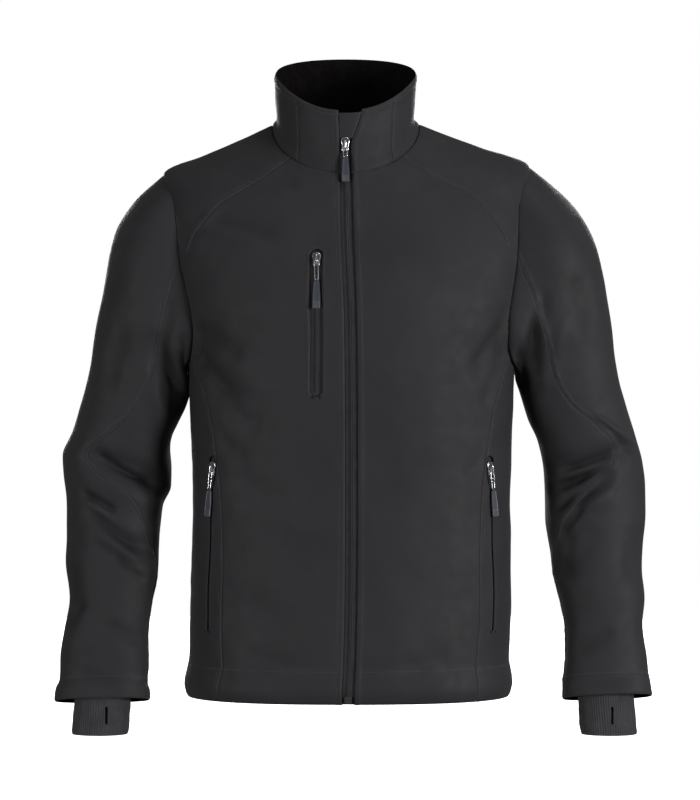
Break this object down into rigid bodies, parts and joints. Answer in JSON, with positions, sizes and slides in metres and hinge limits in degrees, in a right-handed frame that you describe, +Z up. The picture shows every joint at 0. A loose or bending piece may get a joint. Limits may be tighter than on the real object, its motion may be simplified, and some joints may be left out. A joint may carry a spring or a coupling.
{
  "type": "softshell jacket",
  "caption": "Filled-out softshell jacket with stand collar, full front zip, shaped sleeves and knit inner cuffs; covers and warms a wearer's upper body and arms.",
  "frame": {"origin": "on the centre line of the neck, level with the top of the shoulders, where a wearer's shoulders carry it", "axes": "+Z up from hem to collar, -Y out of the front zip, +X to the wearer's left arm"},
  "size_m": [0.738, 0.2626, 0.8472],
  "materials": {
    "cloth": "matt bonded softshell",
    "knit": "matt ribbed knit",
    "tape": "matt woven tape",
    "coil": "satin",
    "metal": "gunmetal, satin",
    "rubber": "satin moulded rubber"
  },
  "bodies": {
    "jacket": {"zip_tape_right": "tape", "zip_teeth_right": "coil", "zip_tape_left": "tape", "zip_teeth_left": "coil", "zip_chain": "coil", "chin_guard": "cloth", "front_right": "cloth", "yoke_right": "cloth", "side_right": "cloth", "front_left": "cloth", "yoke_left": "cloth", "side_left": "cloth", "back": "cloth", "collar_left": "cloth", "collar_right": "cloth", "collar_back": "cloth", "sleeve_outer_right": "cloth", "sleeve_inner_right": "cloth", "sleeve_outer_left": "cloth", "sleeve_inner_left": "cloth", "knit_cuff_right": "knit", "knit_cuff_left": "knit", "front_slider": "metal", "chest_zip_tape": "tape", "chest_zip_chain": "coil", "chest_slider": "metal", "hand_zip_right_tape": "tape", "hand_zip_right_chain": "coil", "hand_right_slider": "metal", "hand_zip_left_tape": "tape", "hand_zip_left_chain": "coil", "hand_left_slider": "metal"},
    "front_pull": {"front_pull_link": "metal", "front_pull_tab": "rubber"},
    "chest_pull": {"chest_pull_link": "metal", "chest_pull_tab": "rubber"},
    "hand_right_pull": {"hand_right_pull_link": "metal", "hand_right_pull_tab": "rubber"},
    "hand_left_pull": {"hand_left_pull_link": "metal", "hand_left_pull_tab": "rubber"}
  },
  "joints": [
    {"name": "front_pull_swing", "type": "hinge", "parent": "jacket", "child": "front_pull", "pos_m": [-0.00701, -0.07425, -0.0307], "axis": [-1, 0.0001, 0], "range_deg": [0, 150]},
    {"name": "chest_pull_swing", "type": "hinge", "parent": "jacket", "child": "chest_pull", "pos_m": [-0.04172, -0.1184, -0.17219], "axis": [-0.9992, 0.0374, -0.0114], "range_deg": [0, 150]},
    {"name": "hand_right_pull_swing", "type": "hinge", "parent": "jacket", "child": "hand_right_pull", "pos_m": [-0.17109, -0.07824, -0.42709], "axis": [-0.7271, 0.6754, 0.1233], "range_deg": [0, 150]},
    {"name": "hand_left_pull_swing", "type": "hinge", "parent": "jacket", "child": "hand_left_pull", "pos_m": [0.17209, -0.07824, -0.42709], "axis": [-0.7271, -0.6754, -0.1233], "range_deg": [0, 150]}
  ]
}
